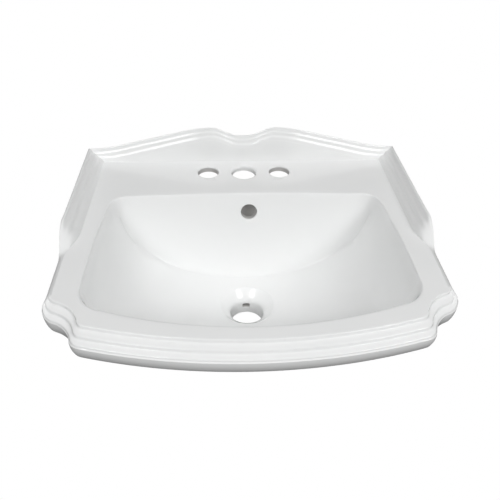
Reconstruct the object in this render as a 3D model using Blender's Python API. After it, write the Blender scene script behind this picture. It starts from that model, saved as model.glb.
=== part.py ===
"""Vitreous china washbasin with a stepped rim, and the two bolt sets that fix it to a wall.

Metres, +Z up. The wall plane is Y = 0, the front is at -Y and the tap deck is Z = 0.
"""
import math

import bmesh
import bpy
from mathutils import Matrix

MM = 0.001

# Rim, all in millimetres
HALF_WIDTH = 224.4          # rear half of the rim, out to its side face
FRONT_BOW_R = 657.0         # long bowed front edge
FRONT_Y = -380.0            # top edge of the front face on the centre line
LOBE = (203.0, -300.0, 21.5)    # front corner lobe: centre x, y, radius
NOTCH = (225.3, -355.1, 37.9)   # hollow beside the lobe
KNUCKLE = (175.1, -341.7, 14.0)  # small corner between the hollow and the bow
STEP_RUN = 19.5             # plan depth of the front moulding
FRONT_DROP = 12.0           # fall of the front moulding
SIDE_ROLL = 6.3             # fall of the rolled side edge
APRON_Z = -30.0             # bottom of the apron
APRON_THICK = 9.0
DECK_THICK = 10.0
PANEL_Y = -10.0             # face of the backsplash
SIDE_FOOT_X = 203.0         # foot of the side moulding

# Backsplash crest
CREST_CORNER = 17.0
CREST_HUMP = 49.6
CREST_DIP = 12.8
BAND = 17.0                 # height of the stepped band that follows the crest

# Bowl
DRAIN = (0.0, -184.0)
BORE_R = 22.6
DISH_R = 37.0
BOWL_DEPTH = 127.0
DISH_DEPTH = 10.5
BORE_Z = -163.0
BOSS_R = 37.0
WALL = 9.0
SEAT_R = (60.0, 71.0)
SEAT_Z = -160.0
BOWL_REAR_Y = -98.0
REAR_SLOPE = 4.6

# Openings
TAP_PITCH = 50.8
TAP_Y = -42.0
TAP_R = (15.0, 18.0, 15.0)
OVERFLOW = (4.8, -27.0, 11.8)   # x, z, radius

# Wall fixings
BOLT_X = 101.6
BOLT_Z = -44.0
EAR_Z = -64.0
EAR_X = (78.0, 132.0)
FLANGE_Y = -12.0
HOLE_R = 8.0
BOLT_R = 5.0

BACK_STEPS = 16
SIDE_STEPS = 4
SWOOP_STEPS = 7
ROLL_STEPS = 2
LOBE_STEPS = 6
NOTCH_STEPS = 4
KNUCKLE_STEPS = 3
BOW_STEPS = 6
BOWL_ROWS = (4, 5)


def clear_scene():
    for item in list(bpy.data.objects):
        bpy.data.objects.remove(item, do_unlink=True)


def smooth(t):
    t = min(1.0, max(0.0, t))
    return t * t * (3.0 - 2.0 * t)


def mix(a, b, t):
    return a + (b - a) * t


def soft_min(a, b, k):
    h = max(k - abs(a - b), 0.0) / k
    return min(a, b) - h * h * k * 0.25


def crest(x):
    """Height of the backsplash top at x."""
    x = abs(x)
    slope = 51.0 - 0.232 * (x - 56.0)
    top = soft_min(slope, CREST_HUMP, 6.0)
    top = -soft_min(-top, -CREST_CORNER, 5.0)
    return top - CREST_DIP * (1.0 - smooth((x - 6.0) / 42.0))


def back_bottom(x):
    """Bottom of the rear flange: low ears carry the wall bolts."""
    x = abs(x)
    rise = smooth((x - EAR_X[0] + 10.0) / 10.0) * (1.0 - smooth((x - EAR_X[1]) / 24.0))
    low = mix(-17.0, APRON_Z + 2.0, smooth((x - 70.0) / 30.0))
    return mix(low, EAR_Z, rise)


def side_height(y):
    """Outer height of the side rim: it rises to the front, then swoops down to the roll."""
    back = CREST_CORNER + 0.0205 * min(190.0, -y)
    t = min(1.0, max(0.0, (-176.0 - y) / 52.0))
    return mix(back, -SIDE_ROLL, smooth(t ** 1.25))


def side_foot(y):
    x = SIDE_FOOT_X + 2.3 * min(1.0, -y / 185.0)
    return x + 10.9 * smooth((-180.0 - y) / 50.0)


def arc_point(circle, angle):
    a = math.radians(angle)
    return (circle[0] + circle[2] * math.cos(a), circle[1] + circle[2] * math.sin(a))


def station(outer, inner, top, panel, kind, inward, bottom=APRON_Z, flare=0.0):
    return {"outer": outer, "inner": inner, "top": top, "panel": panel, "kind": kind,
            "inward": inward, "bottom": bottom, "flare": flare}


def towards(circle, angle, sign):
    """Unit direction from a circle's rim to its centre (sign -1) or away from it (sign 1)."""
    a = math.radians(angle)
    return (sign * math.cos(a), sign * math.sin(a))


def half_rim():
    """Stations round the right half of the rim, from the middle of the back to the front."""
    rim = []
    flange = -FLANGE_Y / APRON_THICK
    for i in range(BACK_STEPS + 1):
        x = HALF_WIDTH * (i + 0.5) / (BACK_STEPS + 0.5)
        top = crest(x)
        inner = (x * SIDE_FOOT_X / HALF_WIDTH, PANEL_Y)
        inward = (-1.0 if i == BACK_STEPS else 0.0, -flange)
        rim.append(station((x, 0.0), inner, top, max(0.0, top - BAND), (1, 0, 0), inward, back_bottom(x)))
    for i in range(1, SIDE_STEPS + 1):
        y = -172.0 * i / SIDE_STEPS
        inner = (side_foot(y), y + PANEL_Y * (1 - i / SIDE_STEPS))
        rim.append(station((HALF_WIDTH, y), inner, side_height(y), 0.0, (1, 0, 0), (-1.0, 0.0)))
    for i in range(1, SWOOP_STEPS + 1):
        y = -172.0 - 58.0 * i / SWOOP_STEPS
        step = 1.0 - smooth((-178.0 - y) / 30.0)
        roll = smooth((-196.0 - y) / 30.0)
        x = HALF_WIDTH - smooth(i / SWOOP_STEPS)
        rim.append(station((x, y), (side_foot(y), y), side_height(y), 0.0, (step, roll, 0), (-1.0, 0.0)))
    for i in range(1, ROLL_STEPS + 1):
        y = -230.0 - 58.0 * i / ROLL_STEPS
        inner = (216.2, y + 3.0 * (i == ROLL_STEPS))
        rim.append(station((223.4, y), inner, -SIDE_ROLL, 0.0, (0, 1, 0), (-1.0, 0.0)))
    for i in range(LOBE_STEPS + 1):
        angle = -68.0 * i / LOBE_STEPS
        turn = smooth(-angle / 38.0)
        x, y = arc_point(LOBE, angle)
        inner_y = min(mix(-290.0, y + STEP_RUN, turn), -290.0 + 0.08 * angle)
        inner = (mix(216.2, min(218.0, x - 2.0), turn), inner_y)
        top = -mix(SIDE_ROLL, FRONT_DROP, smooth(-angle / 55.0))
        front = smooth((3.0 - angle) / 24.0)
        rim.append(station((x, y), inner, top, 0.0, (0, 1 - front, front),
                           towards(LOBE, angle, -1.0), flare=1.5 * front))
    for i in range(1, NOTCH_STEPS + 1):
        angle = 112.0 + 53.0 * i / NOTCH_STEPS
        x, y = arc_point(NOTCH, angle)
        rim.append(station((x, y), (x - 2.0 - i, y + STEP_RUN), -FRONT_DROP, 0.0, (0, 0, 1),
                           towards(NOTCH, angle, 1.0), flare=1.5))
    for i in range(1, KNUCKLE_STEPS + 1):
        angle = -15.0 - 59.2 * i / KNUCKLE_STEPS
        x, y = arc_point(KNUCKLE, angle)
        rim.append(station((x, y), (x - 6.0 + i, y + STEP_RUN), -FRONT_DROP, 0.0, (0, 0, 1),
                           towards(KNUCKLE, angle, -1.0), flare=1.8))
    bow = (0.0, FRONT_Y + FRONT_BOW_R, FRONT_BOW_R)
    for i in range(1, BOW_STEPS + 1):
        angle = -74.2 - 15.8 * (i - 0.25) / BOW_STEPS
        x, y = arc_point(bow, angle)
        rim.append(station((x, y), (x * 0.985, y + STEP_RUN), -FRONT_DROP, 0.0, (0, 0, 1),
                           towards(bow, angle, -1.0), flare=2.0))
    return rim


def mirrored(stations):
    """Both halves, running once round the rim."""
    left = []
    for s in reversed(stations):
        m = dict(s)
        m["outer"] = (-s["outer"][0], s["outer"][1])
        m["inner"] = (-s["inner"][0], s["inner"][1])
        m["inward"] = (-s["inward"][0], s["inward"][1])
        left.append(m)
    return stations + left


# Profiles across the moulding: run and rise as fractions, from the deck to the outer edge
STEPS_UP = ((0.0, 0.0), (0.12, 0.20), (0.18, 0.32), (0.38, 0.38), (0.45, 0.56),
            (0.51, 0.67), (0.70, 0.72), (0.78, 0.90), (0.86, 1.0), (0.97, 1.0), (1.0, 0.93))
STEPS_DOWN = ((0.0, 0.0), (0.06, 0.06), (0.13, 0.30), (0.20, 0.37), (0.50, 0.46),
              (0.57, 0.58), (0.64, 0.73), (0.72, 0.77), (0.86, 0.81), (0.96, 0.90), (1.0, 1.0))


def moulding(s, i):
    """Point i of the moulding across one station: x, y, z."""
    last = len(STEPS_UP) - 1
    quarter = math.pi / 2 * i / last
    dome = (i / last, math.sqrt(1.0 - (1.0 - i / last) ** 2))
    roll = (math.sin(quarter), 1.0 - math.cos(quarter))
    up, rolled, down = s["kind"]
    plain = 1.0 - up - rolled - down
    u = up * STEPS_UP[i][0] + rolled * roll[0] + down * STEPS_DOWN[i][0] + plain * dome[0]
    v = up * STEPS_UP[i][1] + rolled * roll[1] + down * STEPS_DOWN[i][1] + plain * dome[1]
    x = mix(s["inner"][0], s["outer"][0], u)
    y = mix(s["inner"][1], s["outer"][1], u)
    return (x, y, mix(s["panel"], s["top"], v))


def lip_outline():
    """Right half of the bowl's lip, as points on five arcs, from the rear to the front."""
    arcs = (((0.0, -2898.0, 2800.0), 90.0, 86.9, 6), ((153.0, -127.0, 25.5), 86.9, 8.0, 8),
            ((-850.0, -250.0, 1036.0), 6.8, -1.4, 8), ((150.0, -279.0, 36.0), -1.4, -71.2, 9),
            ((0.0, 159.0, 500.0), -71.2, -90.0, 8))
    points = []
    for circle, start, end, count in arcs:
        for i in range(count + 1):
            points.append(arc_point(circle, mix(start, end, i / count)))
    return points


LIP = lip_outline()


def lip_reach(ux, uy):
    """Distance from the drain's centre to the lip along a unit direction."""
    ux = abs(ux)
    want = math.atan2(uy, ux)
    previous = None
    for x, y in LIP:
        angle = math.atan2(y - DRAIN[1], x)
        reach = math.hypot(x, y - DRAIN[1])
        if previous and angle <= want:
            t = (previous[0] - want) / max(1e-9, previous[0] - angle)
            return mix(previous[1], reach, min(1.0, max(0.0, t)))
        previous = (angle, reach)
    return previous[1]


def lip_half_width(y):
    previous = None
    for px, py in LIP:
        if py <= y and previous:
            t = (previous[1] - y) / max(1e-9, previous[1] - py)
            return mix(previous[0], px, t)
        previous = (px, py)
    return LIP[0][0]


def barrel_and_rear(ux, uy, r):
    """Depths of the barrel-shaped floor and of the rear wall at distance r from the drain."""
    x = ux * r
    y = DRAIN[1] + uy * r
    a = max(150.0, lip_half_width(min(y, -101.0)))
    barrel = BOWL_DEPTH * math.sqrt(max(0.0, 1.0 - (x / a) ** 2))
    rear = (BOWL_REAR_Y - 0.00018 * x * x - y) * REAR_SLOPE
    return barrel, rear


def bowl_depth(ux, uy, reach, r):
    """Depth of the bowl at distance r from the drain: a barrel with a steep flat rear wall."""
    if uy > 0.0:
        barrel, rear = barrel_and_rear(ux, uy, r)
        return max(0.0, soft_min(barrel, rear, 14.0))
    power = mix(2.0, 2.5, smooth(-uy))
    return BOWL_DEPTH * max(0.0, 1.0 - (r / reach) ** power) ** (1.0 / power)


def bowl_profile(ux, uy, upper, lower):
    """Points (r, z) from under the lip to the drain's dish, with a row kept on the rear fold."""
    reach = lip_reach(ux, uy)
    fine = []
    fold = None
    for i in range(301):
        r = mix(reach - 1.2, DISH_R, (i / 300) ** 2)
        fine.append((r, -max(6.0, bowl_depth(ux, uy, reach, r))))
        if uy > 0.0 and fold is None:
            barrel, rear = barrel_and_rear(ux, uy, r)
            if rear >= barrel:
                fold = i
    run = [0.0]
    for a, b in zip(fine, fine[1:]):
        run.append(run[-1] + math.hypot(b[0] - a[0], b[1] - a[1]))
    split = 0.3 * run[-1]
    if fold:
        split = max(split, run[fold])
    wants = [(split - 6.0) * i / upper for i in range(upper + 1)] + [split]
    wants += [mix(split + 6.0, run[-1], i / lower) for i in range(lower + 1)]
    out = []
    j = 0
    for want in wants:
        while j < len(run) - 2 and run[j + 1] < want:
            j += 1
        t = (want - run[j]) / max(1e-9, run[j + 1] - run[j])
        out.append((mix(fine[j][0], fine[j + 1][0], t), mix(fine[j][1], fine[j + 1][1], t)))
    return reach, out


def basin_section(s):
    """One closed section through the basin at a station, as points in millimetres."""
    ox, oy = s["outer"]
    ix, iy = s["inner"]
    dx, dy = ix, iy - DRAIN[1]
    size = math.hypot(dx, dy)
    ux, uy = dx / size, dy / size
    reach, wall = bowl_profile(ux, uy, *BOWL_ROWS)

    def ray(r, z):
        return (ux * r, DRAIN[1] + uy * r, z)

    section = [moulding(s, i) for i in range(len(STEPS_UP) - 1, -1, -1)]
    section.append((mix(ix, ux * reach, 0.01), mix(iy, DRAIN[1] + uy * reach, 0.01), 0.16 * s["panel"]))
    section.append((mix(ix, ux * reach, 0.05), mix(iy, DRAIN[1] + uy * reach, 0.05), 0.0))
    section.append((mix(ix, ux * reach, 0.5), mix(iy, DRAIN[1] + uy * reach, 0.5), -0.4))
    for a in (80.0, 50.0, 20.0):
        t = math.radians(a)
        section.append(ray(reach - 1.2 + 7.0 * (1.0 - math.cos(t)), -6.0 + 5.2 * math.sin(t)))
    section += [ray(r, z) for r, z in wall]
    floor = wall[-1][1]
    section.append(ray(34.5, floor - 0.12 * DISH_DEPTH))
    section.append(ray(24.6, floor - DISH_DEPTH))
    section.append(ray(BORE_R, floor - DISH_DEPTH - 3.5))
    section.append(ray(BORE_R, BORE_Z))
    section.append(ray(BOSS_R, BORE_Z))
    section.append(ray(BOSS_R + 1.0, floor - WALL - 1.0))
    section.append(ray(SEAT_R[0], floor - WALL - 1.0))
    section.append(ray(SEAT_R[0], SEAT_Z))
    section.append(ray(SEAT_R[1], SEAT_Z))
    shell = outer_shell(bowl_profile(ux, uy, 40, 40)[1])
    section += [ray(r, z) for r, z in shell]
    # underside of the deck, then the inside of the apron
    nx, ny = s["inward"]
    ax, ay = ox + APRON_THICK * nx, oy + APRON_THICK * ny
    sx, sy, _ = section[-1]
    section.append((mix(sx, ax, 0.4), mix(sy, ay, 0.4), -DECK_THICK))
    under = -DECK_THICK - 1.5 + 0.5 * max(0.0, s["top"]) * (oy < -1.0)
    section.append((ax, ay, under))
    section.append((ax, ay, s["bottom"]))
    flare = s["flare"]
    section.append((ox - flare * nx, oy - flare * ny, s["bottom"]))
    section.append((ox - 0.8 * flare * nx, oy - 0.8 * flare * ny, mix(s["top"], s["bottom"], 0.35)))
    return section


def outer_shell(wall, count=7):
    """The bowl's outside: the wall pushed out by the china's thickness, from the seat to the deck."""
    shell = []
    for i in range(len(wall) - 2, 0, -1):
        a = wall[i - 1]
        b = wall[i + 1]
        tr, tz = b[0] - a[0], b[1] - a[1]
        size = math.hypot(tr, tz)
        shell.append((wall[i][0] - tz / size * WALL, wall[i][1] + tr / size * WALL))
    shell = [p for p in shell if p[0] > SEAT_R[1] + 1.0 and p[1] < -DECK_THICK - 9.0]
    run = [0.0]
    for a, b in zip(shell, shell[1:]):
        run.append(run[-1] + math.hypot(b[0] - a[0], b[1] - a[1]))
    out = []
    for k in range(count):
        want = run[-1] * (k / (count - 1)) ** 1.25
        j = max(i for i in range(len(run)) if run[i] <= want + 1e-9)
        out.append(shell[j])
    return out


def mesh_object(name, bm, material):
    bmesh.ops.recalc_face_normals(bm, faces=bm.faces)
    if bm.calc_volume(signed=True) < 0.0:
        bmesh.ops.reverse_faces(bm, faces=bm.faces)
    mesh = bpy.data.meshes.new(name)
    bm.to_mesh(mesh)
    bm.free()
    mesh.materials.append(material)
    mesh.shade_smooth()
    item = bpy.data.objects.new(name, mesh)
    bpy.context.scene.collection.objects.link(item)
    return item


def make_material(name, color, roughness, metallic=0.0):
    material = bpy.data.materials.new(name)
    material.use_nodes = True
    shader = material.node_tree.nodes["Principled BSDF"]
    shader.inputs["Base Color"].default_value = (*color, 1.0)
    shader.inputs["Roughness"].default_value = roughness
    shader.inputs["Metallic"].default_value = metallic
    return material


def basin_body(material):
    """The china as one closed skin: a section at every station, joined to its neighbours."""
    bm = bmesh.new()
    rings = []
    for s in mirrored(half_rim()):
        rings.append([bm.verts.new((x * MM, y * MM, z * MM)) for x, y, z in basin_section(s)])
    for j, ring in enumerate(rings):
        other = rings[(j + 1) % len(rings)]
        for i in range(len(ring)):
            k = (i + 1) % len(ring)
            bm.faces.new((ring[i], ring[k], other[k], other[i]))
    return mesh_object("basin", bm, material)


def box_cutter(name, low, high, lean=0.0):
    """A block whose foot is pushed along Y by lean, so that it can follow the sloping rear wall."""
    bm = bmesh.new()
    bmesh.ops.create_cube(bm, size=1.0)
    size = [(b - a) * MM for a, b in zip(low, high)]
    middle = [(a + b) / 2 * MM for a, b in zip(low, high)]
    bm.transform(Matrix.Translation(middle) @ Matrix.Diagonal((*size, 1.0)))
    for vert in bm.verts:
        if vert.co.z < middle[2]:
            vert.co.y += lean * MM
    return cutter_object(name, bm)


def cutter_object(name, bm):
    bmesh.ops.recalc_face_normals(bm, faces=bm.faces)
    mesh = bpy.data.meshes.new(name)
    bm.to_mesh(mesh)
    bm.free()
    item = bpy.data.objects.new(name, mesh)
    bpy.context.scene.collection.objects.link(item)
    item.hide_render = True
    item.display_type = "WIRE"
    return item


def turned(profile, segments):
    """A turned shape about +Y: the profile gives (radius, y) in millimetres, run round once."""
    bm = bmesh.new()
    rings = []
    for k in range(segments):
        a = 2.0 * math.pi * (k + 0.5) / segments
        ring = [bm.verts.new((r * math.cos(a) * MM, y * MM, r * math.sin(a) * MM)) for r, y in profile]
        rings.append(ring)
    for k, ring in enumerate(rings):
        other = rings[(k + 1) % segments]
        for i in range(len(ring)):
            j = (i + 1) % len(ring)
            bm.faces.new((ring[i], ring[j], other[j], other[i]))
    bmesh.ops.remove_doubles(bm, verts=bm.verts, dist=1e-7)
    bmesh.ops.dissolve_degenerate(bm, edges=bm.edges, dist=1e-7)
    return bm


def cut(item, cutter, operation="DIFFERENCE"):
    boolean = item.modifiers.new(cutter.name, "BOOLEAN")
    boolean.operation = operation
    boolean.solver = "EXACT"
    boolean.object = cutter


def tap_holes(basin):
    for n, radius in enumerate(TAP_R):
        lip = 2.0
        bm = turned(((0.0, 1.0), (radius + lip, 1.0), (radius + 0.6 * lip, -0.5), (radius, -2.2),
                     (radius, -24.0), (0.0, -24.0)), 28)
        bm.transform(Matrix.Rotation(math.radians(90.0), 4, "X"))
        cutter = cutter_object(f"tap_hole_cut_{n + 1}", bm)
        cutter.location = ((n - 1) * TAP_PITCH * MM, TAP_Y * MM, 0.0)
        cut(basin, cutter)


def overflow(basin):
    """The overflow: a hole in the rear wall, and a duct that runs down behind it to the drain."""
    x, z, radius = OVERFLOW
    ridge = box_cutter("overflow_ridge", (x - 18, -92, -148), (x + 18, -72, -9), -30.0)
    foot = box_cutter("overflow_foot", (x - 21, -158, -154), (x + 21, -99, -140))
    cut(basin, ridge, "UNION")
    cut(basin, foot, "UNION")
    drop = box_cutter("overflow_drop_cut", (x - 11, -90, -150.5), (x + 11, -81, -14), -29.5)
    run = box_cutter("overflow_run_cut", (-5, -170, -151), (5, -112, -144.5))
    cut(basin, drop)
    cut(basin, run)
    bm = turned(((0.0, -122.0), (radius, -122.0), (radius, -86.0), (0.0, -86.0)), 24)
    mouth = cutter_object("overflow_mouth_cut", bm)
    mouth.location = (x * MM, 0.0, z * MM)
    cut(basin, mouth)


def bolt_holes(basin):
    for side, sign in (("left", -1), ("right", 1)):
        bm = turned(((0.0, 6.0), (HOLE_R, 6.0), (HOLE_R, -20.0), (0.0, -20.0)), 24)
        cutter = cutter_object(f"bolt_hole_cut_{side}", bm)
        cutter.location = (sign * BOLT_X * MM, 0.0, BOLT_Z * MM)
        cut(basin, cutter)


def place(item, sign):
    item.location = (sign * BOLT_X * MM, 0.0, BOLT_Z * MM)
    return item


def hanger_bolt(name, material):
    """Metric stud at the front, coarse screw with a point at the wall end, and a square waist."""
    profile = ((0.0, -36.0), (4.2, -36.0), (BOLT_R, -35.2), (BOLT_R, -1.0), (4.0, 0.0), (4.0, 6.0),
               (4.9, 7.5), (4.9, 50.0), (0.8, 62.0), (0.0, 62.4))
    return mesh_object(name, turned(profile, 24), material)


def wall_plug(name, material):
    """Split nylon plug with barbs, open at both ends."""
    profile = [(5.4, 0.4), (9.0, 0.4), (9.0, 1.6), (7.0, 1.9)]
    for k in range(6):
        y = 8.0 + 9.0 * k
        profile += [(6.7, y), (7.2, y + 7.5), (6.7, y + 8.0)]
    profile += [(5.8, 68.0), (5.4, 68.0)]
    item = mesh_object(name, turned(profile, 24), material)
    return item


def sleeve(name, material):
    profile = ((5.4, -1.0), (7.4, -1.0), (7.4, -14.6), (13.0, -14.6), (13.0, -16.4), (12.3, -17.1),
               (5.4, -17.1))
    return mesh_object(name, turned(profile, 28), material)


def ring(name, inner, outer, start, end, material):
    edge = 0.25 * abs(end - start)
    profile = ((inner, start), (outer - edge, start), (outer, start - edge), (outer, end + edge),
               (outer - edge, end), (inner, end))
    return mesh_object(name, turned(profile, 28), material)


def hex_nut(name, material):
    """Hexagon nut: a six-sided block turned back at both faces, with a bore for the stud."""
    start, end, flats = -19.7, -27.7, 8.5
    corner = flats / math.cos(math.pi / 6)
    bm = bmesh.new()
    rings = []
    for radius, y in ((5.4, start), (flats, start), (corner, start - 0.8), (corner, end + 0.8),
                      (flats, end), (5.4, end)):
        points = []
        for k in range(24):
            a = 2.0 * math.pi * k / 24
            off = (a + math.pi / 6) % (math.pi / 3) - math.pi / 6
            reach = min(radius, flats / math.cos(off)) if radius > 6.0 else radius
            points.append(bm.verts.new((reach * math.cos(a) * MM, y * MM, reach * math.sin(a) * MM)))
        rings.append(points)
    for i, points in enumerate(rings):
        other = rings[(i + 1) % len(rings)]
        for k in range(24):
            j = (k + 1) % 24
            bm.faces.new((points[k], points[j], other[j], other[k]))
    item = mesh_object(name, bm, material)
    item.data.shade_flat()
    return item


def nut_cap(name, material):
    """Domed cover that pushes over the nut, open towards the wall."""
    profile = [(10.2, -20.0), (12.0, -20.0), (12.0, -33.0)]
    for k in range(1, 5):
        a = math.radians(90.0 * k / 4)
        profile.append((12.0 * math.cos(a), -33.0 - 7.0 * math.sin(a)))
    profile += [(0.0, -38.0), (8.0, -37.0), (10.2, -33.0)]
    return mesh_object(name, turned(profile, 28), material)


def fixings():
    steel = make_material("zinc_plated_steel", (0.62, 0.63, 0.64), 0.32, 1.0)
    nylon = make_material("grey_nylon", (0.45, 0.46, 0.47), 0.55)
    bush = make_material("natural_nylon", (0.83, 0.82, 0.78), 0.45)
    rubber = make_material("black_rubber", (0.03, 0.03, 0.03), 0.75)
    white = make_material("white_plastic", (0.85, 0.85, 0.84), 0.35)
    for side, sign in (("left", -1), ("right", 1)):
        place(wall_plug(f"wall_plug_{side}", nylon), sign)
        place(hanger_bolt(f"hanger_bolt_{side}", steel), sign)
        place(ring(f"rubber_washer_{side}", 8.0, 13.5, -12.3, -14.3, rubber), sign)
        place(sleeve(f"flanged_sleeve_{side}", bush), sign)
        place(ring(f"steel_washer_{side}", 5.4, 12.0, -17.4, -19.4, steel), sign)
        place(hex_nut(f"hex_nut_{side}", steel), sign)
        place(nut_cap(f"nut_cap_{side}", white), sign)


def main():
    clear_scene()
    china = make_material("white_glazed_china", (0.86, 0.87, 0.86), 0.08)
    basin = basin_body(china)
    tap_holes(basin)
    overflow(basin)
    bolt_holes(basin)
    fixings()


main()
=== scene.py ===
# %% [markdown]
# # A china basin with a stepped rim
# The real object is one slip casting. Liquid clay sets against a plaster mould, is dried, glazed and
# fired, so every edge is round and there isn't a single seam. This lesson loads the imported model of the
# basin, rolls one sheet of mesh into a finer casting, pierces it, glazes it and lights it in a studio.

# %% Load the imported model
import math
import bpy
from mathutils import Matrix, Vector


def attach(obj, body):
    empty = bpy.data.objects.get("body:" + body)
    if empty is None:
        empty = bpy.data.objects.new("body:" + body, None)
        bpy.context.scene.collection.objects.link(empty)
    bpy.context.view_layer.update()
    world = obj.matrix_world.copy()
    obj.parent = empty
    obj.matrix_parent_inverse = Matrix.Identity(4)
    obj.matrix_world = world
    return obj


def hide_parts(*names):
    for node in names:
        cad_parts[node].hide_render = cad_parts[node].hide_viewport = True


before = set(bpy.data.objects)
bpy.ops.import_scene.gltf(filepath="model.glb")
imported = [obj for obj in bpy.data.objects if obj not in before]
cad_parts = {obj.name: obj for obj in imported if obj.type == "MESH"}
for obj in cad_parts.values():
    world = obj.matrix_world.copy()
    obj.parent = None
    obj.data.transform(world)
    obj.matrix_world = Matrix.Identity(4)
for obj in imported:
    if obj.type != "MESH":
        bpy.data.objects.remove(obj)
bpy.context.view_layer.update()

MM = 0.001

# %% [markdown]
# Small helpers first. An operator acts on everything that is selected, so each step starts from nothing
# selected. A finished piece keeps its place in its mesh and sits at the origin.

# %% Selection helpers
def deselect():
    if bpy.context.object and bpy.context.object.mode != "OBJECT":
        bpy.ops.object.mode_set(mode="OBJECT")
    bpy.ops.object.select_all(action="DESELECT")


def only(item):
    deselect()
    item.select_set(True)
    bpy.context.view_layer.objects.active = item


def settle(item):
    """Put an object's place, turn and scale into its mesh."""
    only(item)
    bpy.ops.object.transform_apply(location=True, rotation=True, scale=True)


def smooth(t):
    t = min(1.0, max(0.0, t))
    return t * t * (3.0 - 2.0 * t)


def mix(a, b, t):
    return a + (b - a) * t


def soft_min(a, b, k):
    h = max(k - abs(a - b), 0.0) / k
    return min(a, b) - h * h * k * 0.25

# %% [markdown]
# The rim's plan is drawn the way a mould maker would: straight sides, a lobe at each front corner, a
# hollow beside it, a small knuckle, and one long bow across the front. All of them are arcs, so a few
# centres and radii hold the whole outline.

# %% The sizes of the rim, in millimetres
HALF_WIDTH = 224.4
LOBE = (203.0, -300.0, 21.5)
NOTCH = (225.3, -355.1, 37.9)
KNUCKLE = (175.1, -341.7, 14.0)
BOW = (0.0, 277.0, 657.0)
STEP_RUN = 19.5
FRONT_DROP = 12.0
SIDE_ROLL = 6.3
APRON_Z = -30.0
APRON_THICK = 9.0
FLANGE = 12.0
DECK_THICK = 10.0
PANEL_Y = -10.0
SIDE_FOOT_X = 203.0
BAND = 17.0


def arc_point(circle, angle):
    a = math.radians(angle)
    return (circle[0] + circle[2] * math.cos(a), circle[1] + circle[2] * math.sin(a))


def crest(x):
    """Top of the backsplash: two humps with a dip between them, falling to the corners."""
    x = abs(x)
    top = soft_min(51.0 - 0.232 * (x - 56.0), 49.6, 6.0)
    top = -soft_min(-top, -17.0, 5.0)
    return top - 12.8 * (1.0 - smooth((x - 6.0) / 42.0))


def back_bottom(x):
    """The flange along the wall is shallow in the middle and deep at the two bolt holes."""
    x = abs(x)
    rise = smooth((x - 68.0) / 10.0) * (1.0 - smooth((x - 132.0) / 24.0))
    low = mix(-17.0, APRON_Z + 2.0, smooth((x - 70.0) / 30.0))
    return mix(low, -64.0, rise)


def side_height(y):
    """The side rims rise towards the user, then swoop down to a plain rolled edge."""
    t = min(1.0, max(0.0, (-176.0 - y) / 52.0))
    return mix(17.0 + 0.0205 * min(190.0, -y), -SIDE_ROLL, smooth(t ** 1.25))


def side_foot(y):
    return SIDE_FOOT_X + 2.3 * min(1.0, -y / 185.0) + 10.9 * smooth((-180.0 - y) / 50.0)


print("crest heights:", [round(crest(x), 1) for x in (0, 48, 100, 224)])

# %% [markdown]
# One station is one cut through the rim. Each holds the outer edge, the foot of the moulding, the
# heights, which of the three profiles it has, and the direction that points into the china.

# %% Stations round half the rim
def station(outer, inner, top, panel, kind, inward, bottom=APRON_Z, flare=0.0):
    return {"outer": outer, "inner": inner, "top": top, "panel": panel, "kind": kind,
            "inward": inward, "bottom": bottom, "flare": flare}


def towards(angle, sign):
    a = math.radians(angle)
    return (sign * math.cos(a), sign * math.sin(a))


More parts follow.
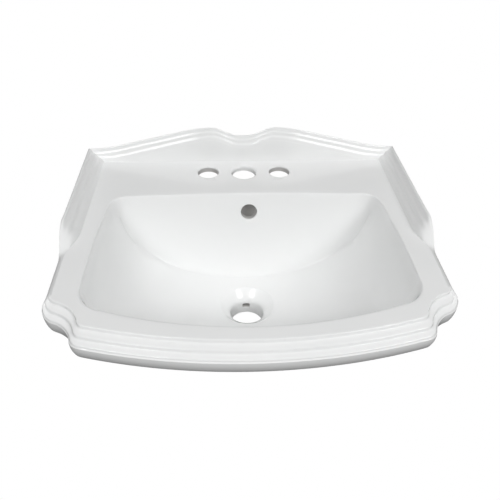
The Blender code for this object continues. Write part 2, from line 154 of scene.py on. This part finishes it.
def half_rim(back=46, side=14, swoop=32, roll=8, lobe=18, notch=14, knuckle=8, bow=26):
    rim = []
    for i in range(back + 1):
        x = HALF_WIDTH * (i + 0.5) / (back + 0.5)
        top = crest(x)
        inward = (-1.0 if i == back else 0.0, -FLANGE / APRON_THICK)
        rim.append(station((x, 0.0), (x * SIDE_FOOT_X / HALF_WIDTH, PANEL_Y), top,
                           max(0.0, top - BAND), (1, 0, 0), inward, back_bottom(x)))
    for i in range(1, side + 1):
        y = -166.0 * i / side
        rim.append(station((HALF_WIDTH, y), (side_foot(y), y + PANEL_Y * (1 - i / side)),
                           side_height(y), 0.0, (1, 0, 0), (-1.0, 0.0)))
    for i in range(1, swoop + 1):
        y = -166.0 - 64.0 * i / swoop
        step = 1.0 - smooth((-178.0 - y) / 30.0)
        rolled = smooth((-196.0 - y) / 30.0)
        proud = 1.0 * math.sin(math.pi * i / swoop)
        rim.append(station((HALF_WIDTH - smooth(i / swoop) + proud, y), (side_foot(y), y), side_height(y),
                           0.0, (step, rolled, 0), (-1.0, 0.0)))
    for i in range(1, roll + 1):
        y = -230.0 - 58.0 * i / roll
        rim.append(station((223.4, y), (216.2, y + 3.0 * smooth(i / roll)), -SIDE_ROLL, 0.0,
                           (0, 1, 0), (-1.0, 0.0)))
    for i in range(lobe + 1):
        angle = -68.0 * i / lobe
        turn = smooth(-angle / 38.0)
        x, y = arc_point(LOBE, angle)
        inner_y = min(mix(-290.0, y + STEP_RUN, turn), -290.0 + 0.08 * angle)
        top = -mix(SIDE_ROLL, FRONT_DROP, smooth(-angle / 55.0))
        front = smooth((3.0 - angle) / 24.0)
        rim.append(station((x, y), (mix(216.2, min(218.0, x - 2.0), turn), inner_y), top, 0.0,
                           (0, 1 - front, front), towards(angle, -1.0), flare=1.1 * front))
    for i in range(1, notch + 1):
        angle = 112.0 + 53.0 * i / notch
        x, y = arc_point(NOTCH, angle)
        rim.append(station((x, y), (x - 2.0 - 4.0 * i / notch, y + STEP_RUN), -FRONT_DROP, 0.0,
                           (0, 0, 1), towards(angle, 1.0), flare=1.1))
    for i in range(1, knuckle + 1):
        angle = -15.0 - 59.2 * i / knuckle
        x, y = arc_point(KNUCKLE, angle)
        rim.append(station((x, y), (x - 6.0 + 3.0 * i / knuckle, y + STEP_RUN), -FRONT_DROP, 0.0,
                           (0, 0, 1), towards(angle, -1.0), flare=1.4))
    for i in range(1, bow + 1):
        angle = -74.2 - 15.8 * (i - 0.5) / bow
        x, y = arc_point(BOW, angle)
        rim.append(station((x, y), (x * mix(0.983, 0.97, i / bow), y + STEP_RUN), -FRONT_DROP, 0.0,
                           (0, 0, 1), towards(angle, -1.0), flare=1.7))
    return rim


def whole_rim():
    right = half_rim()
    left = []
    for s in reversed(right):
        m = dict(s)
        for key in ("outer", "inner", "inward"):
            m[key] = (-s[key][0], s[key][1])
        left.append(m)
    return right + left


RIM = whole_rim()
print("stations round the rim:", len(RIM))

# %% [markdown]
# The moulding has three treads. Its corners are first drawn sharp, as run and rise from the deck to the
# outer edge, and then softened by cutting corners twice, which is what a thick glaze does to clay.

# %% Profiles across the moulding
STEPS_UP = ((0.0, 0.0), (0.10, 0.16), (0.17, 0.31), (0.38, 0.38), (0.45, 0.52),
            (0.51, 0.66), (0.70, 0.72), (0.76, 0.86), (0.83, 0.99), (0.96, 1.0), (1.0, 0.93))
STEPS_DOWN = ((0.0, 0.0), (0.09, 0.02), (0.115, 0.28), (0.16, 0.345), (0.47, 0.41),
              (0.57, 0.44), (0.60, 0.70), (0.65, 0.765), (0.86, 0.80), (0.97, 0.86), (1.0, 1.0))


def softened(points, times=2):
    for _ in range(times):
        cut = [points[0]]
        for a, b in zip(points, points[1:]):
            cut.append((mix(a[0], b[0], 0.25), mix(a[1], b[1], 0.25)))
            cut.append((mix(a[0], b[0], 0.75), mix(a[1], b[1], 0.75)))
        points = cut + [points[-1]]
    return points


def relaxed(points, times):
    """Pull every point but the ends towards its neighbours."""
    for _ in range(times):
        middle = [tuple((a[k] + 2.0 * b[k] + c[k]) / 4.0 for k in (0, 1))
                  for a, b, c in zip(points, points[1:], points[2:])]
        points = [points[0]] + middle + [points[-1]]
    return points


UP = relaxed(softened(STEPS_UP), 6)
DOWN = relaxed(softened(STEPS_DOWN), 2)
LAST = len(UP) - 1


def moulding(s, i):
    """Point i of the moulding at one station: x, y, z."""
    quarter = math.pi / 2 * i / LAST
    dome = (i / LAST, math.sqrt(1.0 - (1.0 - i / LAST) ** 2))
    across = math.sin(quarter)
    roll = (across, 0.5 * (1.0 - math.cos(quarter)) + 0.5 * across)
    up, rolled, down = s["kind"]
    plain = 1.0 - up - rolled - down
    u, v = (up * UP[i][k] + rolled * roll[k] + down * DOWN[i][k] + plain * dome[k] for k in (0, 1))
    return (mix(s["inner"][0], s["outer"][0], u), mix(s["inner"][1], s["outer"][1], u),
            mix(s["panel"], s["top"], v))


print("points across the moulding:", LAST + 1)

# %% [markdown]
# The bowl is a barrel laid front to back, cut off by a steep flat wall behind the waste. Where the two
# meet there is a soft fold, which a plain hemisphere wouldn't have. A soft minimum of the two depths
# gives the fold, and a row of the mesh is kept on it so that it stays clean.

# %% The bowl's lip and its walls
DRAIN_Y = -184.0
BORE_R = 22.6
DISH_R = 37.0
BOWL_DEPTH = 127.0
REAR_Y = -98.0
REAR_SLOPE = 4.6
LIP_DROP = 5.5


def lip_outline():
    arcs = (((0.0, -2898.0, 2800.0), 90.0, 86.9, 10), ((153.0, -127.0, 25.5), 86.9, 8.0, 24),
            ((-850.0, -250.0, 1036.0), 6.8, -1.4, 24), ((150.0, -279.0, 36.0), -1.4, -71.2, 28),
            ((0.0, 159.0, 498.0), -71.2, -90.0, 24))
    points = []
    for circle, start, end, count in arcs:
        points += [arc_point(circle, mix(start, end, i / count)) for i in range(count + 1)]
    return points


LIP = lip_outline()


def lip_reach(ux, uy):
    """Distance from the waste to the lip along a direction."""
    want = math.atan2(uy, abs(ux))
    previous = None
    for x, y in LIP:
        angle = math.atan2(y - DRAIN_Y, x)
        reach = math.hypot(x, y - DRAIN_Y)
        if previous and angle <= want:
            t = (previous[0] - want) / max(1e-9, previous[0] - angle)
            return mix(previous[1], reach, min(1.0, max(0.0, t)))
        previous = (angle, reach)
    return previous[1]


def lip_half_width(y):
    previous = None
    for px, py in LIP:
        if py <= y and previous:
            t = (previous[1] - y) / max(1e-9, previous[1] - py)
            return mix(previous[0], px, t)
        previous = (px, py)
    return LIP[0][0]


def barrel_and_rear(ux, uy, r):
    x = ux * r
    y = DRAIN_Y + uy * r
    a = max(150.0, lip_half_width(min(y, -101.0)))
    barrel = BOWL_DEPTH * math.sqrt(max(0.0, 1.0 - (x / a) ** 2))
    return barrel, (REAR_Y - 0.00018 * x * x - y) * REAR_SLOPE


def bowl_depth(ux, uy, reach, r):
    if uy > 0.0:
        return max(0.0, soft_min(*barrel_and_rear(ux, uy, r), 14.0))
    power = mix(2.0, 2.5, smooth(-uy))
    return BOWL_DEPTH * max(0.0, 1.0 - (r / reach) ** power) ** (1.0 / power)


def bowl_profile(ux, uy, upper, lower):
    """Points (r, z) down the wall, from under the lip to the waste's dish."""
    reach = lip_reach(ux, uy)
    start = reach - 1.2
    while bowl_depth(ux, uy, reach, start) < LIP_DROP:
        start -= 0.1
    fine, fold = [], None
    for i in range(401):
        r = mix(start, DISH_R, (i / 400) ** 2)
        fine.append((r, -bowl_depth(ux, uy, reach, r)))
        if uy > 0.0 and fold is None:
            barrel, rear = barrel_and_rear(ux, uy, r)
            fold = i if rear >= barrel else None
    run = [0.0]
    for a, b in zip(fine, fine[1:]):
        run.append(run[-1] + math.hypot(b[0] - a[0], b[1] - a[1]))
    split = max(0.3 * run[-1], run[fold] if fold else 0.0)
    wants = [(split - 9.0) * i / upper for i in range(upper)]
    wants += [split - 9.0 + 18.0 * i / 6 for i in range(6)]
    wants += [mix(split + 9.0, run[-1], i / lower) for i in range(lower + 1)]
    out, j = [], 0
    for want in wants:
        while j < len(run) - 2 and run[j + 1] < want:
            j += 1
        t = (want - run[j]) / max(1e-9, run[j + 1] - run[j])
        out.append((mix(fine[j][0], fine[j + 1][0], t), mix(fine[j][1], fine[j + 1][1], t)))
    return reach, out


def outer_shell(wall, seat, count=18):
    """The bowl's outside: the wall pushed out by the thickness of the casting."""
    shell = []
    for i in range(len(wall) - 2, 0, -1):
        tr, tz = wall[i + 1][0] - wall[i - 1][0], wall[i + 1][1] - wall[i - 1][1]
        size = math.hypot(tr, tz)
        shell.append((wall[i][0] - tz / size * 9.0, wall[i][1] + tr / size * 9.0))
    shell = [p for p in shell if p[0] > seat + 1.0 and p[1] < -DECK_THICK - 9.0]
    run = [0.0]
    for a, b in zip(shell, shell[1:]):
        run.append(run[-1] + math.hypot(b[0] - a[0], b[1] - a[1]))
    out, j = [], 0
    for k in range(count):
        want = run[-1] * (k / (count - 1)) ** 1.25
        while j < len(run) - 2 and run[j + 1] < want:
            j += 1
        t = (want - run[j]) / max(1e-9, run[j + 1] - run[j])
        out.append((mix(shell[j][0], shell[j + 1][0], t), mix(shell[j][1], shell[j + 1][1], t)))
    return out


print("reach to the lip, side, front, rear:", [round(lip_reach(*d), 1) for d in ((1, 0), (0, -1), (0, 1))])

# %% [markdown]
# A section is one closed line through the casting: over the moulding, across the deck, down the bowl,
# through the waste, back under the bowl and up inside the apron.

# %% One closed section
SEAT = (60.0, 71.0, -160.0)
BOSS = (37.0, -163.0)
UNDERCUT = 2.2
DISH_ROWS = ((36.4, 0.3), (35.2, 1.3), (33.6, 2.8), (31.6, 4.6), (29.4, 6.6), (27.4, 8.5), (25.9, 10.1),
             (24.6, 11.9), (23.5, 13.9), (22.9, 15.6), (BORE_R, 17.5))


def eased(a, b, count):
    """Points from a to b, without a itself, as fractions of the way."""
    return [tuple(mix(p, q, i / count) for p, q in zip(a, b)) for i in range(1, count + 1)]


def basin_section(s):
    (ox, oy), (ix, iy) = s["outer"], s["inner"]
    size = math.hypot(ix, iy - DRAIN_Y)
    ux, uy = ix / size, (iy - DRAIN_Y) / size
    reach, wall = bowl_profile(ux, uy, 22, 26)
    edge = reach + mix(2.5, 5.0, smooth(-uy))

    def ray(r, z):
        return (ux * r, DRAIN_Y + uy * r, z)

    def deck(t, z):
        return (mix(ix, ux * edge, t), mix(iy, DRAIN_Y + uy * edge, t), z)

    line = [moulding(s, i) for i in range(LAST, -1, -1)]
    panel = s["panel"]
    for t, share in ((0.004, 0.7), (0.008, 0.45), (0.012, 0.25), (0.018, 0.10), (0.028, 0.02)):
        line.append(deck(t, share * panel))
    for t in (0.05, 0.12, 0.24, 0.38, 0.52, 0.66, 0.79, 0.9):
        line.append(deck(t, -0.5 * t))
    start, low_lip = wall[0]
    corner = start + (-0.5 - low_lip) * (wall[1][0] - start) / (wall[1][1] - low_lip)
    for step in range(9):
        t = step / 9.0
        line.append(ray(mix(mix(edge, corner, t), mix(corner, start, t), t), mix(-0.5, low_lip, t * t)))
    line += [ray(r, z) for r, z in wall]
    floor = wall[-1][1]
    line += [ray(r, floor - drop) for r, drop in DISH_ROWS]
    low = floor - 10.0
    line += [ray(*p) for p in eased((BORE_R, floor - DISH_ROWS[-1][1]), (BORE_R, BOSS[1]), 5)]
    line += [ray(*p) for p in eased((BORE_R, BOSS[1]), (BOSS[0] - 1.5, BOSS[1]), 3)]
    line += [ray(BOSS[0], BOSS[1] + 1.5)]
    line += [ray(*p) for p in eased((BOSS[0], BOSS[1] + 1.5), (BOSS[0] + 1.0, low), 3)]
    line += [ray(*p) for p in eased((BOSS[0] + 1.0, low), (SEAT[0], low), 4)]
    line += [ray(SEAT[0], SEAT[2] + 1.0), ray(SEAT[0] + 1.0, SEAT[2])]
    line += [ray(SEAT[1] - 1.0, SEAT[2]), ray(SEAT[1], SEAT[2] + 1.0)]
    line += [ray(r, z) for r, z in outer_shell(wall, SEAT[1])]
    nx, ny = s["inward"]
    ax, ay = ox + APRON_THICK * nx, oy + APRON_THICK * ny
    sx, sy, sz = line[-1]
    line += eased((sx, sy, sz), (mix(sx, ax, 0.4), mix(sy, ay, 0.4), -DECK_THICK), 3)
    under = -DECK_THICK - 1.5 + 0.5 * max(0.0, s["top"]) * (oy < -1.0)
    line += eased(line[-1], (ax, ay, under), 4)
    line += eased((ax, ay, under), (ax, ay, s["bottom"] + 1.5), 4)
    flare = s["flare"]
    tuck = UNDERCUT * smooth(-oy / 40.0)

    def face(t):
        """A point on the outer face, 0 at its top and 1 at its foot, which is tucked under."""
        grow = flare * math.sin(math.pi * min(1.0, 0.28 + 0.72 * t)) - tuck * t ** 2.2
        return (ox - grow * nx, oy - grow * ny, mix(s["top"], s["bottom"], t))

    foot = face(1.0)
    line.append((mix(ax, foot[0], 0.2), mix(ay, foot[1], 0.2), s["bottom"]))
    line.append((mix(ax, foot[0], 0.75), mix(ay, foot[1], 0.75), s["bottom"]))
    line += [face(t) for t in (0.93, 0.84, 0.72, 0.6, 0.48, 0.36, 0.24, 0.12, 0.05)]
    return line


SECTIONS = [basin_section(s) for s in RIM]
print("points in one section:", len(SECTIONS[0]), {len(line) for line in SECTIONS})

# %% [markdown]
# A free-form casting could be sculpted, or extruded one ring after another. Here one grid is laid out
# with a column for every station and a row for every point of the section, draped over the sections,
# and its edges are merged where it closes on itself. One primitive gives a sealed skin of even quads.

# %% Roll the sheet into the casting
def rolled_sheet(name, sections):
    columns, rows = len(sections), len(sections[0])
    deselect()
    bpy.ops.mesh.primitive_grid_add(x_subdivisions=columns, y_subdivisions=rows, size=2.0)
    sheet = bpy.context.object
    sheet.name = name
    place = []
    for vert in sheet.data.vertices:
        i = round((vert.co.x + 1.0) / 2.0 * columns) % columns
        j = round((vert.co.y + 1.0) / 2.0 * rows) % rows
        place += [c * MM for c in sections[i][j]]
    sheet.data.vertices.foreach_set("co", place)
    only(sheet)
    bpy.ops.object.mode_set(mode="EDIT")
    bpy.ops.mesh.select_all(action="SELECT")
    bpy.ops.mesh.remove_doubles(threshold=0.000001)
    bpy.ops.mesh.normals_make_consistent(inside=False)
    bpy.ops.object.mode_set(mode="OBJECT")
    return sheet


basin = rolled_sheet("china_basin", SECTIONS)
print("faces in the casting:", len(basin.data.polygons))

# %% [markdown]
# The tap holes are pierced in the soft clay and their edges sponged round. Each cutter is a disc that is
# extruded down in rings: first the rounded mouth, then the straight hole, then a wider recess below, which
# gives the tap's back nut a flat seat.

# %% Cutters
def turned_cutter(name, rings, sides=72):
    """A solid of revolution about Z from (radius, z) rings in millimetres, both ends filled."""
    deselect()
    first = rings[0]
    bpy.ops.mesh.primitive_circle_add(vertices=sides, radius=first[0] * MM, fill_type="NGON",
                                      location=(0.0, 0.0, first[1] * MM))
    item = bpy.context.object
    item.name = name
    bpy.ops.object.mode_set(mode="EDIT")
    bpy.ops.mesh.select_all(action="SELECT")
    for before, after in zip(rings, rings[1:]):
        grow = after[0] / before[0]
        step = (0, 0, (after[1] - before[1]) * MM)
        bpy.ops.mesh.extrude_region_move(TRANSFORM_OT_translate={"value": step})
        bpy.ops.transform.resize(value=(grow, grow, 1.0))
    bpy.ops.mesh.select_all(action="SELECT")
    bpy.ops.mesh.normals_make_consistent(inside=False)
    bpy.ops.object.mode_set(mode="OBJECT")
    settle(item)
    return item


def carve(target, cutter, operation="DIFFERENCE"):
    only(target)
    boolean = target.modifiers.new("carve", "BOOLEAN")
    boolean.operation = operation
    boolean.solver = "EXACT"
    boolean.object = cutter
    bpy.ops.object.modifier_apply(modifier=boolean.name)
    bpy.data.objects.remove(cutter, do_unlink=True)


def mouth_rings(radius, lip, top, bottom):
    rings = [(radius + lip + 0.6, top + 1.2)]
    for step in range(7):
        a = math.radians(12.0 + 13.0 * step)
        rings.append((radius + lip * (1.0 - math.sin(a)), top - lip * (1.0 - math.cos(a))))
    return rings + [(radius, bottom)]


TAP_Y = -42.0
TAP_PITCH = 50.8
for n, (radius, lip) in enumerate(((15.0, 1.5), (17.6, 4.0), (15.0, 1.5))):
    rings = mouth_rings(radius - 0.25 * lip, lip, 0.0, -7.9)
    cutter = turned_cutter("tap_cutter", rings + [(radius + 5.5, -8.3), (radius + 5.5, -30.0)])
    cutter.location = ((n - 1) * TAP_PITCH * MM, TAP_Y * MM, 0.0)
    settle(cutter)
    carve(basin, cutter)
print("faces after the tap holes:", len(basin.data.polygons))

# %% [markdown]
# The overflow is a passage inside the casting: a round mouth high in the rear wall, a flat duct that
# runs down behind it, and a port in the side of the waste bore. A block is joined on for the duct's outer
# walls, its edges are rounded, and the passage is cut through it.

# %% The overflow
OVERFLOW_X, OVERFLOW_Z, OVERFLOW_R = 4.8, -27.0, 11.0
BOLT_X, BOLT_Z = 101.6, -44.0


def leaning_block(name, low, high, lean=0.0, round_off=0.0):
    deselect()
    middle = [(a + b) / 2 * MM for a, b in zip(low, high)]
    bpy.ops.mesh.primitive_cube_add(size=1.0, location=middle)
    item = bpy.context.object
    item.name = name
    item.scale = [(b - a) * MM for a, b in zip(low, high)]
    settle(item)
    for vert in item.data.vertices:
        if vert.co.z < middle[2]:
            vert.co.y += lean * MM
    if round_off:
        bpy.ops.object.mode_set(mode="EDIT")
        bpy.ops.mesh.select_all(action="SELECT")
        bpy.ops.mesh.bevel(offset=round_off * MM, segments=5, affect="EDGES")
        bpy.ops.object.mode_set(mode="OBJECT")
    return item


x = OVERFLOW_X
carve(basin, leaning_block("ridge", (x - 18, -92, -148), (x + 18, -72, -9), -30.0, 5.0), "UNION")
carve(basin, leaning_block("foot", (x - 21, -158, -154), (x + 21, -99, -140), 0.0, 3.0), "UNION")
carve(basin, leaning_block("drop", (x - 11, -90, -150.5), (x + 11, -81, -14), -29.5, 2.0))
carve(basin, leaning_block("run", (-5.2, -170, -153.4), (5.2, -112, -146.0), 0.0, 1.5))
mouth = turned_cutter("mouth", mouth_rings(OVERFLOW_R, 1.2, 0.0, -16.0), 64)
mouth.rotation_euler = (math.radians(90.0) - math.atan(1.0 / REAR_SLOPE), 0.0, 0.0)
mouth.location = (x * MM, (REAR_Y + OVERFLOW_Z / REAR_SLOPE) * MM, OVERFLOW_Z * MM)
settle(mouth)
carve(basin, mouth)
for sign in (-1, 1):
    bolt_hole = turned_cutter("bolt_hole", [(8.0, 20.0), (8.0, -6.0)], 48)
    bolt_hole.rotation_euler = (math.radians(90.0), 0.0, 0.0)
    bolt_hole.location = (sign * BOLT_X * MM, 0.0, BOLT_Z * MM)
    settle(bolt_hole)
    carve(basin, bolt_hole)
only(basin)
bpy.ops.object.shade_smooth_by_angle(angle=math.radians(38.0))
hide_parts("basin")
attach(basin, "root")
print("faces in the finished casting:", len(basin.data.polygons))

# %% [markdown]
# Shader maths reads best as plain arithmetic. This small class wraps a socket so that masks can be added
# and multiplied in one line, and makes every other node from its type, its settings and its inputs.

# %% A wrapper for sockets
class Wire:
    def __init__(self, tree, socket):
        self.tree = tree
        self.socket = socket

    def maths(self, operation, *values):
        return node(self.tree, "ShaderNodeMath", {"operation": operation}, dict(enumerate(values)))

    def __add__(self, other):
        return self.maths("ADD", self, other)

    def __mul__(self, other):
        return self.maths("MULTIPLY", self, other)

    def __sub__(self, other):
        return self.maths("SUBTRACT", self, other)

    def __rsub__(self, other):
        return self.maths("SUBTRACT", other, self)

    __radd__ = __add__
    __rmul__ = __mul__

    def step(self, low, high):
        """0 below low, 1 above high."""
        return node(self.tree, "ShaderNodeMapRange", {"interpolation_type": "SMOOTHSTEP"},
                    {"Value": self, "From Min": low, "From Max": high}, "Result")


def node(tree, kind, settings, values, out=0):
    made = tree.nodes.new(kind)
    for key, value in settings.items():
        setattr(made, key, value)
    for key, value in values.items():
        if isinstance(value, Wire):
            tree.links.new(value.socket, made.inputs[key])
        else:
            made.inputs[key].default_value = value
    return Wire(tree, made.outputs[out])


def blank_material(name, color, roughness, metallic=0.0, **sockets):
    material = bpy.data.materials.new(name)
    material.use_nodes = True
    tree = material.node_tree
    shader = tree.nodes["Principled BSDF"]
    shader.inputs["Base Color"].default_value = (*color, 1.0)
    shader.inputs["Roughness"].default_value = roughness
    shader.inputs["Metallic"].default_value = metallic
    for key, value in sockets.items():
        shader.inputs[key.replace("_", " ")].default_value = value
    return material, tree, shader


def feed(tree, wire, shader, socket):
    tree.links.new(wire.socket, shader.inputs[socket])


def blended(tree, mask, a, b):
    """One colour where the mask is 0 and another where it is 1. A colour is a wire or four numbers."""
    return node(tree, "ShaderNodeMix", {"data_type": "RGBA"}, {0: mask, 6: a, 7: b}, 2)


def tint(tree, mask, a, b):
    return blended(tree, mask, (*a, 1.0), (*b, 1.0))


def parted(tree, vector):
    """The three parts of a vector, each on its own wire."""
    first = node(tree, "ShaderNodeSeparateXYZ", {}, {"Vector": vector}, "X")
    return [first] + [Wire(tree, first.socket.node.outputs[key]) for key in ("Y", "Z")]


def place_on(tree):
    return node(tree, "ShaderNodeTexCoord", {}, {}, "Object")


def noise(tree, where, scale, detail=3.0):
    return node(tree, "ShaderNodeTexNoise", {},
                {"Vector": where, "Scale": scale, "Detail": detail, "Roughness": 0.5})


def bump(tree, height, distance):
    return node(tree, "ShaderNodeBump", {}, {"Height": height, "Distance": distance, "Strength": 1.0})


# %% [markdown]
# Fired glaze is a clear glass coat over white clay. It isn't perfectly flat: it has a very slow ripple
# and the odd soft patch where it went on thinner. The faces that rest on the wall, on the pedestal and on
# the kiln shelf are wiped clean of glaze, so they stay cream and matt.

# %% Glazed china
def glazed_china():
    material, tree, shader = blank_material("glazed_china", (0.92, 0.93, 0.925), 0.07, IOR=1.50,
                                            Specular_IOR_Level=0.42)
    where = place_on(tree)
    x, y, z = parted(tree, where)
    _, facing_back, facing_up = parted(tree, node(tree, "ShaderNodeNewGeometry", {}, {}, "Normal"))
    back = y.step(-0.0006, -0.0002) * facing_back.step(0.6, 0.9)
    seat = (1.0 - z.step(-0.1588, -0.1582)) * (1.0 - facing_up.step(-0.9, -0.6))
    bare = back.maths("MAXIMUM", back, seat)
    off_centre = x.maths("ABSOLUTE", x)
    aside = off_centre - TAP_PITCH * MM
    depth_way = y - TAP_Y * MM
    from_axis = aside.maths("SQRT", aside * aside + depth_way * depth_way)
    pierced = ((1.0 - from_axis.step(0.0152, 0.0156)) * (1.0 - z.step(-0.0026, -0.0012))
               * z.step(-0.016, -0.013))
    port = (y.step(-0.1612, -0.1600) * (1.0 - y.step(-0.115, -0.110)) * z.step(-0.1555, -0.1545)
            * (1.0 - z.step(-0.1450, -0.1440)) * (1.0 - off_centre.step(0.0058, 0.0064)))
    inside = y - z * (1.0 / REAR_SLOPE) - REAR_Y * MM
    off_line = x.maths("ABSOLUTE", x - OVERFLOW_X * MM)
    throat = (inside.step(0.0022, 0.0032) * (1.0 - inside.step(0.0215, 0.0230)) * z.step(-0.145, -0.140)
              * (1.0 - z.step(-0.012, -0.011)) * (1.0 - off_line.step(0.0125, 0.0130)))
    # Painted shade: the walls of the tap holes, the overflow port and the overflow's throat get a flat
    # grey that stands for the shade inside these holes. The tap holes' walls are also made matt.
    painted_hole_shade = pierced + port + throat
    patch = noise(tree, where, 9.0, 2.0)
    specks = noise(tree, where, 900.0, 1.0).step(0.745, 0.80)
    colour = tint(tree, patch.step(0.35, 0.65), (0.940, 0.948, 0.945), (0.952, 0.958, 0.955))
    clay = tint(tree, noise(tree, where, 60.0).step(0.3, 0.7), (0.74, 0.70, 0.62), (0.80, 0.77, 0.70))
    base = blended(tree, bare, colour, clay)
    shade_in_holes = blended(tree, painted_hole_shade, base, (0.62, 0.61, 0.60, 1.0))
    spotted = blended(tree, specks * 0.25, shade_in_holes, (0.55, 0.50, 0.42, 1.0))
    feed(tree, spotted, shader, "Base Color")
    fine = noise(tree, where, 140.0, 2.0)
    feed(tree, 0.05 + fine * 0.035 + patch * 0.02 + bare * 0.55 + pierced * 0.5, shader, "Roughness")
    ripple = noise(tree, where, 38.0, 1.5) + noise(tree, where, 420.0, 2.0) * 0.05
    grain = noise(tree, where, 1600.0, 3.0) * bare
    feed(tree, bump(tree, ripple + grain * 0.4, 0.00012), shader, "Normal")
    return material


china = glazed_china()
basin.data.materials.clear()
basin.data.materials.append(china)
print("china nodes:", len(china.node_tree.nodes))

# %% [markdown]
# The fixings are hidden below the rim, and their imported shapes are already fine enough. They could be
# modelled again, but only their finishes were plain, so each gets a worn one of its own: zinc, nylon,
# rubber or white plastic, with a slow change of colour and a faint bump.

# %% Finishes for the fixings
def worn(name, color, dark, roughness, metallic, scale, depth):
    material, tree, shader = blank_material(name, color, roughness, metallic)
    where = place_on(tree)
    patch = noise(tree, where, scale, 4.0)
    feed(tree, tint(tree, patch.step(0.35, 0.7), color, dark), shader, "Base Color")
    feed(tree, roughness - 0.08 + patch * 0.2, shader, "Roughness")
    feed(tree, bump(tree, noise(tree, where, scale * 9.0, 3.0), depth), shader, "Normal")
    return material


zinc = worn("zinc_plate", (0.62, 0.63, 0.64), (0.48, 0.49, 0.50), 0.34, 1.0, 220.0, 0.00004)
nylon = worn("grey_nylon", (0.42, 0.43, 0.45), (0.36, 0.37, 0.38), 0.55, 0.0, 180.0, 0.00006)
bush = worn("natural_nylon", (0.80, 0.79, 0.74), (0.74, 0.73, 0.68), 0.45, 0.0, 150.0, 0.00004)
rubber = worn("black_rubber", (0.03, 0.03, 0.03), (0.055, 0.053, 0.05), 0.78, 0.0, 260.0, 0.00008)
cap_white = worn("white_cap", (0.83, 0.83, 0.82), (0.78, 0.78, 0.76), 0.32, 0.0, 120.0, 0.00003)
for key, finish in (("wall_plug", nylon), ("hanger_bolt", zinc), ("rubber_washer", rubber),
                    ("flanged_sleeve", bush), ("steel_washer", zinc), ("hex_nut", zinc),
                    ("nut_cap", cap_white)):
    for side in ("left", "right"):
        item = bpy.data.objects[f"{key}_{side}"]
        for slot in item.material_slots:
            slot.material = finish
print("fixings finished")

# %% [markdown]
# The basin is seen from the user's side, from above, against plain white. The paper and the
# backdrop look white but give little light back, so the china is lit by its softboxes alone: this is how
# white ware is kept from washing out. Two large boxes stand in front, left and right of the camera.

# %% Floor, backdrop and softboxes
def white_to_the_eye(tree, plain_shader, out):
    """Plain white where the camera sees it directly, and the darker shader for all other light."""
    eye = node(tree, "ShaderNodeLightPath", {}, {}, "Is Camera Ray")
    glow = "ShaderNodeEmission" if out.bl_idname.endswith("Material") else "ShaderNodeBackground"
    white = tree.nodes.new(glow)
    white.inputs["Color"].default_value = (1.0, 1.0, 1.0, 1.0)
    white.inputs["Strength"].default_value = 1.0
    blend = tree.nodes.new("ShaderNodeMixShader")
    tree.links.new(eye.socket, blend.inputs[0])
    tree.links.new(plain_shader.outputs[0], blend.inputs[1])
    tree.links.new(white.outputs[0], blend.inputs[2])
    tree.links.new(blend.outputs[0], out.inputs["Surface"])


deselect()
bpy.ops.mesh.primitive_plane_add(size=12.0, location=(0.0, 0.0, -0.80))
floor = bpy.context.object
floor.name = "studio_floor"
paper, tree, shader = blank_material("studio_paper", (0.20, 0.20, 0.20), 0.9)
white_to_the_eye(tree, shader, tree.nodes["Material Output"])
floor.data.materials.append(paper)

world = bpy.data.worlds.new("studio")
bpy.context.scene.world = world
world.use_nodes = True
dim = world.node_tree.nodes["Background"]
dim.inputs["Color"].default_value = (1.0, 1.0, 1.0, 1.0)
up_there = node(world.node_tree, "ShaderNodeSeparateXYZ", {},
                {"Vector": node(world.node_tree, "ShaderNodeTexCoord", {}, {}, "Generated")}, "Z")
sky = up_there.step(0.25, 1.0) * 0.40 + 0.07
world.node_tree.links.new(sky.socket, dim.inputs["Strength"])
white_to_the_eye(world.node_tree, dim, world.node_tree.nodes["World Output"])


def softbox(name, place, aim, size, power):
    deselect()
    bpy.ops.object.light_add(type="AREA", location=place)
    light = bpy.context.object
    light.name = name
    light.data.shape = "RECTANGLE"
    light.data.size, light.data.size_y = size
    light.data.energy = power
    light.rotation_euler = (Vector(aim) - Vector(place)).to_track_quat("-Z", "Y").to_euler()


MIDDLE = (0.0, -0.18, -0.03)
softbox("softbox_left", (-1.12, -1.78, 1.70), MIDDLE, (1.05, 0.85), 23.5)
softbox("softbox_right", (1.44, -1.66, 1.54), MIDDLE, (1.05, 0.85), 24.5)

# %% [markdown]
# The camera stands at the height of a person who looks down into the bowl. Its place and its three turns
# are worked out from the outline of the rim, and its lens is a little longer than normal.

# %% Camera
EYE = Vector((-0.0338, -0.7337, 0.4149))
YAW, PITCH, ROLL = 0.0656, 0.6789, 0.0237
ahead = Vector((math.sin(YAW) * math.cos(PITCH), math.cos(YAW) * math.cos(PITCH), -math.sin(PITCH)))
flat_right = Vector((math.cos(YAW), -math.sin(YAW), 0.0))
flat_up = flat_right.cross(ahead)
right = math.cos(ROLL) * flat_right + math.sin(ROLL) * flat_up
up = -math.sin(ROLL) * flat_right + math.cos(ROLL) * flat_up
camera_data = bpy.data.cameras.new("studio_camera")
camera = bpy.data.objects.new("studio_camera", camera_data)
bpy.context.scene.collection.objects.link(camera)
turn = Matrix((right, up, -ahead)).transposed().to_4x4()
camera.matrix_world = Matrix.Translation(EYE) @ turn
camera_data.sensor_width = 36.0
camera_data.lens = 40.1184
camera_data.clip_start = 0.01
bpy.context.scene.camera = camera
bpy.context.scene.view_settings.view_transform = "Standard"
print("lens:", round(camera_data.lens, 2))
